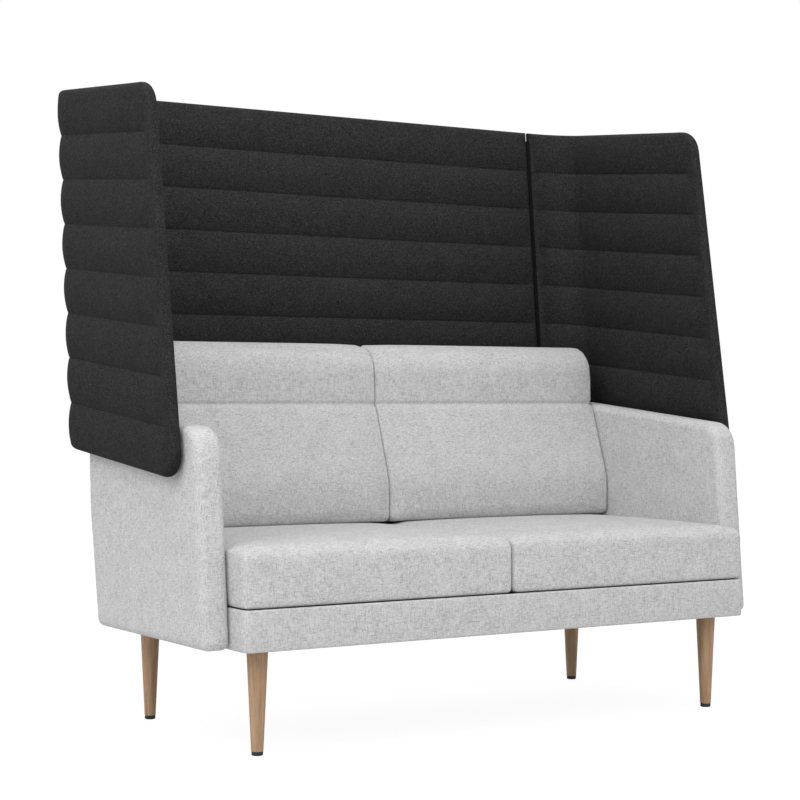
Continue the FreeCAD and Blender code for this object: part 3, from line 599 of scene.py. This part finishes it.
def makeBase():
    side, front = sofa["baseSide"] - base["half"], sofa["front"] + base["half"]
    corners = [(-side, base["rear"]), (-side, front), (side, front), (side, base["rear"])]
    loop, normals = bandPath(corners, [0, base["corner"], base["corner"], 0])
    keep = int(np.argmax(loop[:, 0] - (loop[:, 1] < base["rear"] - 1e-6) * 9)) + 1
    loop, normals = loop[:keep], normals[:keep]
    normals[0], normals[-1] = (-1, 0), (1, 0)
    tall = sofa["baseTop"] - sofa["baseBottom"]
    heights = spread(0, tall, base["rows"])
    grids = {1: [], -1: []}
    for height in heights:
        toEdge = min(height, tall - height)
        half = base["half"] * float(bullnose(toEdge, base["edge"]))
        swell = base["swell"] * math.sin(math.pi * height / tall)
        for way in (1, -1):
            place = loop + normals * (way * half + (swell if way > 0 else 0))
            grids[way].append(np.column_stack([place, np.full(len(loop), sofa["baseBottom"] + height)]))
    outer, inner = np.array(grids[1]), np.array(grids[-1])
    obj = twoFaces("base_band", outer, inner, outer.shape[0], outer.shape[1], True)
    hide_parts("base_cover")
    return obj


panel = {
    "low": 0.2112, "high": 0.7698, "half": 0.0025, "edge": 0.004, "lap": 0.018,
    "rows": 120, "columns": 40, "blur": 8, "fill": 0.95,
}


def makeRearPanel():
    heights = np.linspace(panel["low"], panel["high"], panel["rows"])
    profile = np.array([(rearLine(z, panel["half"]), z) for z in heights])
    blur = panel["blur"]
    window = np.ones(2 * blur + 1) / (2 * blur + 1)
    smoothed = np.convolve(np.pad(profile[:, 0], blur, "edge"), window, "valid")
    profile[blur:-blur, 0] = smoothed[blur:-blur]
    side = sofa["baseSide"] + panel["lap"]
    x = spread(0, 2 * side, panel["columns"])
    grids = {1: [], -1: []}
    for depth, z in profile:
        toEdge = np.minimum(np.minimum(x, 2 * side - x), min(z - heights[0], heights[-1] - z))
        half = panel["half"] * bullnose(toEdge, panel["edge"])
        for way in (1, -1):
            grids[way].append(np.column_stack([x - side, depth + way * half, np.full(len(x), z)]))
    outer, inner = np.array(grids[1]), np.array(grids[-1])
    obj = twoFaces("rear_panel", outer, inner, outer.shape[0], outer.shape[1], False)
    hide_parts("back_rear_cover", "back_rear_board")
    return obj


dust = {
    "sag": 0.0012, "thick": 0.0008, "columns": 50, "rows": 26,
    "window": 0.0203, "legs": (0.5684, -0.3435, 0.161),
}


def makeDustSheet():
    # black cloth tacked under the frame, open round the leg plates and hanging a little between the rails
    low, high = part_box("dust_cover")
    legX, legFront, legRear = dust["legs"]
    cutX = [side * legX + way * dust["window"] for side in (-1, 1) for way in (-1, 1)]
    cutY = [y + way * dust["window"] for y in (legFront, legRear) for way in (-1, 1)]
    xs = np.union1d(np.linspace(low.x, high.x, dust["columns"]), cutX)
    ys = np.union1d(np.linspace(low.y, high.y, dust["rows"]), cutY)
    across, deep = np.meshgrid(xs, ys, indexing="ij")
    slack = (1 - np.abs(across / high.x) ** 4) * (1 - np.abs((deep - low.y) / (high.y - low.y) * 2 - 1) ** 4)
    points = np.stack([across, deep, high.z - dust["thick"] - dust["sag"] * slack], 2).reshape(-1, 3)
    faces = []
    for i in range(len(xs) - 1):
        for j in range(len(ys) - 1):
            x, y = (xs[i] + xs[i + 1]) / 2, (ys[j] + ys[j + 1]) / 2
            toLeg = max(abs(abs(x) - legX), min(abs(y - legFront), abs(y - legRear)))
            if toLeg >= dust["window"]:
                a, b = i * len(ys) + j, (i + 1) * len(ys) + j
                faces.append([a, a + 1, b + 1, b])
    used = np.unique(faces)
    order = np.zeros(len(points), int)
    order[used] = np.arange(len(used))
    obj = meshObject("dust_sheet", points[used].tolist(), order[np.array(faces)].tolist())
    thick = obj.modifiers.new("thickness", "SOLIDIFY")
    thick.thickness = dust["thick"]
    thick.offset = 0
    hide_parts("dust_cover")
    return obj


arms = makeArms()
dustSheet = makeDustSheet()
baseBand = makeBase()
rearPanel = makeRearPanel()
print("arms, base and rear panel made")


# materials
def newMaterial(name, roughness, sheen=0.0):
    material = bpy.data.materials.new(name)
    material.use_nodes = True
    shader = material.node_tree.nodes["Principled BSDF"]
    shader.inputs["Roughness"].default_value = roughness
    shader.inputs["Sheen Weight"].default_value = sheen
    shader.inputs["Sheen Roughness"].default_value = 0.5
    return material, material.node_tree, shader


def addNode(tree, kind, inputs=None, **settings):
    node = tree.nodes.new(kind)
    for key, value in settings.items():
        setattr(node, key, value)
    for key, value in (inputs or {}).items():
        node.inputs[key].default_value = value
    return node


def streaks(tree, place, scale, detail):
    # noise drawn out along one axis
    mapping = addNode(tree, "ShaderNodeMapping", {"Scale": scale})
    tree.links.new(place, mapping.inputs["Vector"])
    fleck = addNode(tree, "ShaderNodeTexNoise", {"Scale": 1.0, "Detail": detail, "Roughness": 0.6})
    tree.links.new(mapping.outputs["Vector"], fleck.inputs["Vector"])
    return fleck.outputs["Fac"]


def combine(tree, operation, first, second):
    node = addNode(tree, "ShaderNodeMath", operation=operation)
    for socket, value in zip(node.inputs, (first, second)):
        if isinstance(value, (int, float)):
            socket.default_value = value
        else:
            tree.links.new(value, socket)
    return node.outputs[0]


def weaveGroup():
    # threads running along the three axes: a fleck mask for colour and a height for bump
    tree = bpy.data.node_groups.new("woven_threads", "ShaderNodeTree")
    tree.interface.new_socket("Thread", in_out="INPUT", socket_type="NodeSocketFloat")
    tree.interface.new_socket("Fleck", in_out="OUTPUT", socket_type="NodeSocketFloat")
    tree.interface.new_socket("Height", in_out="OUTPUT", socket_type="NodeSocketFloat")
    goingIn = tree.nodes.new("NodeGroupInput")
    goingOut = tree.nodes.new("NodeGroupOutput")
    place = addNode(tree, "ShaderNodeTexCoord").outputs["Object"]
    scaled = addNode(tree, "ShaderNodeVectorMath", operation="SCALE")
    tree.links.new(place, scaled.inputs[0])
    tree.links.new(goingIn.outputs["Thread"], scaled.inputs["Scale"])
    spot = scaled.outputs[0]
    long, fine = 0.18, 1.0
    threadWays = ((long, fine, fine), (fine, long, fine), (fine, fine, long))
    dashes = [streaks(tree, spot, scale, 1.5) for scale in threadWays]
    darkest = combine(tree, "MAXIMUM", combine(tree, "MAXIMUM", dashes[0], dashes[1]), dashes[2])
    cloud = streaks(tree, spot, (0.05, 0.05, 0.05), 2.0)
    even = combine(tree, "ADD", combine(tree, "ADD", dashes[0], dashes[1]), dashes[2])
    threads = combine(tree, "ADD", combine(tree, "MULTIPLY", darkest, 0.5), combine(tree, "MULTIPLY", even, 0.16))
    mixed = combine(tree, "ADD", threads, combine(tree, "MULTIPLY", cloud, 0.1))
    tree.links.new(mixed, goingOut.inputs["Fleck"])
    ridges = [streaks(tree, spot, scale, 0.0) for scale in ((0.3, 2.2, 2.2), (2.2, 0.3, 2.2), (2.2, 2.2, 0.3))]
    relief = combine(tree, "ADD", combine(tree, "ADD", ridges[0], ridges[1]), ridges[2])
    tree.links.new(relief, goingOut.inputs["Height"])
    return tree


weave = weaveGroup()


def fabric(name, thread, stops, roughness, sheen, bumpStrength, specks=None, paintedTopLight=None):
    material, tree, shader = newMaterial(name, roughness, sheen)
    group = addNode(tree, "ShaderNodeGroup", node_tree=weave)
    group.inputs["Thread"].default_value = thread
    ramp = addNode(tree, "ShaderNodeValToRGB")
    ramp.color_ramp.elements[0].position = stops[0][0]
    ramp.color_ramp.elements[0].color = stops[0][1]
    ramp.color_ramp.elements[1].position = stops[-1][0]
    ramp.color_ramp.elements[1].color = stops[-1][1]
    for position, colour in stops[1:-1]:
        ramp.color_ramp.elements.new(position).color = colour
    tree.links.new(group.outputs["Fleck"], ramp.inputs["Fac"])
    colour = ramp.outputs["Color"]
    if specks:
        place = addNode(tree, "ShaderNodeTexCoord").outputs["Object"]
        grains = streaks(tree, place, (specks["size"],) * 3, 1.0)
        mask = addNode(tree, "ShaderNodeMapRange", {"From Min": specks["from"], "From Max": specks["to"]})
        tree.links.new(grains, mask.inputs["Value"])
        mix = addNode(tree, "ShaderNodeMix", data_type="RGBA")
        mix.inputs["B"].default_value = specks["colour"]
        tree.links.new(mask.outputs["Result"], mix.inputs["Factor"])
        tree.links.new(colour, mix.inputs["A"])
        colour = mix.outputs["Result"]
    if paintedTopLight:
        # painted light and shade: the colour is scaled by the up-down tilt of the surface, so faces turned up are
        # painted lighter and faces turned down painted darker, as if lit from above
        facing = addNode(tree, "ShaderNodeSeparateXYZ")
        tree.links.new(addNode(tree, "ShaderNodeTexCoord").outputs["Normal"], facing.inputs["Vector"])
        tiltShadeScale = addNode(tree, "ShaderNodeMapRange", {
            "From Min": -paintedTopLight["tilt"], "From Max": paintedTopLight["tilt"],
            "To Min": 1 - paintedTopLight["share"], "To Max": 1 + paintedTopLight["share"]})
        tree.links.new(facing.outputs["Z"], tiltShadeScale.inputs["Value"])
        tiltPaintedShade = addNode(tree, "ShaderNodeVectorMath", operation="SCALE")
        tree.links.new(colour, tiltPaintedShade.inputs[0])
        tree.links.new(tiltShadeScale.outputs["Result"], tiltPaintedShade.inputs["Scale"])
        colour = tiltPaintedShade.outputs[0]
    tree.links.new(colour, shader.inputs["Base Color"])
    bump = addNode(tree, "ShaderNodeBump", {"Strength": bumpStrength, "Distance": 0.001})
    tree.links.new(group.outputs["Height"], bump.inputs["Height"])
    tree.links.new(bump.outputs["Normal"], shader.inputs["Normal"])
    shader.inputs["Specular IOR Level"].default_value = 0.12
    return material


def grey(value, tint=0.0):
    return value, value, value * (1 + tint), 1


def wood(name, stops, ring, roughness):
    # straight grain along the leg, with fine pores
    material, tree, shader = newMaterial(name, roughness)
    place = addNode(tree, "ShaderNodeTexCoord").outputs["Object"]
    grain = streaks(tree, place, (ring, ring, ring * 0.05), 4.0)
    pores = streaks(tree, place, (ring * 9, ring * 9, ring * 0.3), 2.0)
    mixed = combine(tree, "ADD", combine(tree, "MULTIPLY", grain, 0.75), combine(tree, "MULTIPLY", pores, 0.25))
    ramp = addNode(tree, "ShaderNodeValToRGB")
    ramp.color_ramp.elements[0].position, ramp.color_ramp.elements[0].color = stops[0]
    ramp.color_ramp.elements[1].position, ramp.color_ramp.elements[1].color = stops[1]
    tree.links.new(mixed, ramp.inputs["Fac"])
    tree.links.new(ramp.outputs["Color"], shader.inputs["Base Color"])
    bump = addNode(tree, "ShaderNodeBump", {"Strength": 0.25, "Distance": 0.0004})
    tree.links.new(pores, bump.inputs["Height"])
    tree.links.new(bump.outputs["Normal"], shader.inputs["Normal"])
    return material


def grained(name, low, high, size, roughness, metallic=0.0):
    # plain moulded or metal surface with a little colour change and a fine grain
    material, tree, shader = newMaterial(name, roughness)
    shader.inputs["Metallic"].default_value = metallic
    place = addNode(tree, "ShaderNodeTexCoord").outputs["Object"]
    speck = streaks(tree, place, (size, size, size), 3.0)
    ramp = addNode(tree, "ShaderNodeValToRGB")
    ramp.color_ramp.elements[0].position, ramp.color_ramp.elements[0].color = 0.3, low
    ramp.color_ramp.elements[1].position, ramp.color_ramp.elements[1].color = 0.7, high
    tree.links.new(speck, ramp.inputs["Fac"])
    tree.links.new(ramp.outputs["Color"], shader.inputs["Base Color"])
    bump = addNode(tree, "ShaderNodeBump", {"Strength": 0.2, "Distance": 0.0003})
    tree.links.new(speck, bump.inputs["Height"])
    tree.links.new(bump.outputs["Normal"], shader.inputs["Normal"])
    return material


seatStops = [(0.48, grey(0.66)), (0.57, grey(0.565)), (0.64, grey(0.46)), (0.72, grey(0.34))]
screenStops = [(0.48, grey(0.027)), (0.56, grey(0.02)), (0.64, grey(0.012)), (0.72, grey(0.007))]
specks = {"size": 480, "from": 0.56, "to": 0.68, "colour": grey(0.05)}
# painted top light and shade on the charcoal felt: up to 17 % lighter on faces turned up, up to 17 % darker on
# faces turned down
paintedTopLight = {"tilt": 0.3, "share": 0.17}
finishes = {
    "seat_fabric": fabric("grey_melange", 520, seatStops, 0.9, 0.04, 0.4),
    "screen_fabric": fabric("charcoal_felt", 560, screenStops, 0.95, 0.0, 0.2, specks, paintedTopLight),
    "joint_strip": fabric("black_tape", 700, [(0.5, grey(0.008)), (0.7, grey(0.003))], 0.95, 0.0, 0.2),
    "lining": fabric("black_lining", 500, [(0.5, grey(0.03)), (0.7, grey(0.012))], 0.95, 0.02, 0.3),
    "webbing": fabric("webbing", 300, [(0.5, grey(0.08)), (0.7, grey(0.03))], 0.9, 0.02, 0.4),
    "foam": grained("foam", (0.62, 0.58, 0.45, 1), (0.78, 0.74, 0.62, 1), 300, 0.95),
    "leg_wood": wood("oiled_oak", [(0.34, (0.28, 0.158, 0.08, 1)), (0.66, (0.5, 0.325, 0.19, 1))], 130, 0.5),
    "frame_wood": wood("raw_beech", [(0.3, (0.42, 0.3, 0.19, 1)), (0.7, (0.6, 0.46, 0.32, 1))], 60, 0.7),
    "panel_board": grained("fibreboard", (0.3, 0.21, 0.13, 1), (0.45, 0.33, 0.21, 1), 500, 0.85),
    "glide_plastic": grained("glide_black", grey(0.008), grey(0.018), 400, 0.5),
    "steel": grained("zinc_steel", grey(0.42), grey(0.55), 250, 0.4, 1.0),
}


stitch = {"Spacing": 0.0074, "Length": 0.005, "Radius": 0.00055}
threadMaterial = grained("seam_thread", grey(0.004), grey(0.012), 900, 0.85)


def stitchTree():
    # stitches set along wire lines, each turned along its line
    tree = bpy.data.node_groups.new("stitch_rows", "GeometryNodeTree")
    tree.interface.new_socket("Geometry", in_out="INPUT", socket_type="NodeSocketGeometry")
    for label in stitch:
        tree.interface.new_socket(label, in_out="INPUT", socket_type="NodeSocketFloat")
    tree.interface.new_socket("Material", in_out="INPUT", socket_type="NodeSocketMaterial")
    tree.interface.new_socket("Geometry", in_out="OUTPUT", socket_type="NodeSocketGeometry")
    goingIn, goingOut = tree.nodes.new("NodeGroupInput"), tree.nodes.new("NodeGroupOutput")
    lines = addNode(tree, "GeometryNodeMeshToCurve")
    dots = addNode(tree, "GeometryNodeCurveToPoints", mode="LENGTH")
    thread = addNode(tree, "GeometryNodeMeshCylinder", {"Vertices": 6})
    sewn = addNode(tree, "GeometryNodeInstanceOnPoints")
    whole = addNode(tree, "GeometryNodeRealizeInstances")
    coloured = addNode(tree, "GeometryNodeSetMaterial")
    for source, target in (
        (goingIn.outputs["Geometry"], lines.inputs["Mesh"]), (lines.outputs["Curve"], dots.inputs["Curve"]),
        (goingIn.outputs["Spacing"], dots.inputs["Length"]), (goingIn.outputs["Length"], thread.inputs["Depth"]),
        (goingIn.outputs["Radius"], thread.inputs["Radius"]), (dots.outputs["Points"], sewn.inputs["Points"]),
        (dots.outputs["Rotation"], sewn.inputs["Rotation"]), (thread.outputs["Mesh"], sewn.inputs["Instance"]),
        (sewn.outputs["Instances"], whole.inputs["Geometry"]),
        (whole.outputs["Geometry"], coloured.inputs["Geometry"]),
        (goingIn.outputs["Material"], coloured.inputs["Material"]),
        (coloured.outputs["Geometry"], goingOut.inputs["Geometry"]),
    ):
        tree.links.new(source, target)
    return tree


def sew(name, lines, tree):
    mesh = bpy.data.meshes.new(name)
    verts, edges = [], []
    for line in lines:
        edges += [(len(verts) + i, len(verts) + i + 1) for i in range(len(line) - 1)]
        verts += [tuple(p) for p in line]
    mesh.from_pydata(verts, edges, [])
    obj = bpy.data.objects.new(name, mesh)
    scene.collection.objects.link(obj)
    modifier = obj.modifiers.new("stitches", "NODES")
    modifier.node_group = tree
    values = dict(stitch, Material=threadMaterial)
    for item in tree.interface.items_tree:
        if item.in_out == "INPUT" and item.name in values:
            modifier[item.identifier] = values[item.name]
    bake(obj)
    return obj


stitchRows = stitchTree()
stitchesRight = sew("quilt_stitches_right", seamLines(sidePath, wingOutline(), quilt["wingStop"]), stitchRows)
stitchesLeft = mirrorObject(stitchesRight, "quilt_stitches_left")
stitchesBack = sew("quilt_stitches_back", seamLines(backPath, None, quilt["seamStart"]), stitchRows)
stitches = [stitchesRight, stitchesLeft, stitchesBack]
print("quilting stitched,", sum(len(obj.data.polygons) for obj in stitches), "faces")


def dress(obj, slot):
    obj.data.materials.clear()
    obj.data.materials.append(finishes[slot])


for row in frame["record"]["subparts"]:
    if row["node"] in nodes:
        target = nodes[row["node"]]
        target.data.materials.clear()
        target.data.materials.append(finishes[row["material_slot"]])
for obj in screens:
    dress(obj, "screen_fabric")
for obj in seats + backs + arms + [baseBand, rearPanel]:
    dress(obj, "seat_fabric")
dress(dustSheet, "lining")
for obj in screens + stitches + seats + backs + arms + [baseBand, rearPanel, dustSheet]:
    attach(obj, "sofa")
print("materials set")


# camera, floor and light
camera = bpy.data.objects.new("camera", bpy.data.cameras.new("camera"))
camera.data.lens = 86.71
camera.data.sensor_width = 36
camera.data.shift_y = -0.0016
camera.location = (-2.3007, -3.6874, 0.6949)
camera.rotation_euler = (math.radians(90), 0, math.radians(-31.623))
scene.collection.objects.link(camera)
scene.camera = camera


lamps = {
    "key": {"place": (-1.35, -3.7, 3.6), "target": (0, 0, 0.6), "size": 2.6, "power": 38},
    "left": {"place": (-3.6, -0.9, 3.2), "target": (0, 0, 0.6), "size": 2.2, "power": 50},
    "top": {"place": (-0.7, -1.2, 3.5), "target": (0, 0.1, 0.5), "size": 2.0, "power": 33},
    "rear": {"place": (1.6, 3.6, 3.4), "target": (0, 0.3, 0.7), "size": 2.4, "power": 45},
}


def areaLamp(name, place, target, size, power):
    lamp = bpy.data.lights.new(name, "AREA")
    lamp.shape = "RECTANGLE"
    lamp.size = lamp.size_y = size
    lamp.energy = power
    obj = bpy.data.objects.new(name, lamp)
    obj.location = place
    obj.rotation_euler = (Vector(target) - Vector(place)).to_track_quat("-Z", "Y").to_euler()
    scene.collection.objects.link(obj)


for name, lamp in lamps.items():
    areaLamp(name, **lamp)

studio = {"ambient": 0.73, "floorGrey": 0.75, "floorGlow": 1.13, "floorShare": 0.82, "floorHalf": 12}
world = bpy.data.worlds.new("studio")
world.use_nodes = True
tree = world.node_tree
tree.nodes.clear()
rays = addNode(tree, "ShaderNodeLightPath")
seen = combine(tree, "MAXIMUM", rays.outputs["Is Camera Ray"], rays.outputs["Is Glossy Ray"])
seen = combine(tree, "MAXIMUM", seen, rays.outputs["Is Transmission Ray"])
ambient = addNode(tree, "ShaderNodeBackground", {"Color": (1, 1, 1, 1), "Strength": studio["ambient"]})
white = addNode(tree, "ShaderNodeBackground", {"Color": (1, 1, 1, 1), "Strength": 1.0})
blend = addNode(tree, "ShaderNodeMixShader")
tree.links.new(seen, blend.inputs[0])
tree.links.new(ambient.outputs[0], blend.inputs[1])
tree.links.new(white.outputs[0], blend.inputs[2])
tree.links.new(blend.outputs[0], addNode(tree, "ShaderNodeOutputWorld").inputs["Surface"])
scene.world = world

floorMaterial = bpy.data.materials.new("floor_white")
floorMaterial.use_nodes = True
tree = floorMaterial.node_tree
shader = tree.nodes["Principled BSDF"]
shader.inputs["Base Color"].default_value = grey(studio["floorGrey"])
shader.inputs["Roughness"].default_value = 0.9
glow = addNode(tree, "ShaderNodeEmission", {"Color": (1, 1, 1, 1), "Strength": studio["floorGlow"]})
rays = addNode(tree, "ShaderNodeLightPath")
share = combine(tree, "MULTIPLY", rays.outputs["Is Camera Ray"], studio["floorShare"])
blend = addNode(tree, "ShaderNodeMixShader")
tree.links.new(share, blend.inputs[0])
tree.links.new(shader.outputs[0], blend.inputs[1])
tree.links.new(glow.outputs[0], blend.inputs[2])
tree.links.new(blend.outputs[0], tree.nodes["Material Output"].inputs["Surface"])
turns = ((-1, -1), (1, -1), (1, 1), (-1, 1))
floorCorners = [(x * studio["floorHalf"], y * studio["floorHalf"], 0) for x, y in turns]
floor = meshObject("floor", floorCorners, [(0, 1, 2, 3)])
floor.data.materials.append(floorMaterial)

print("scene ready")
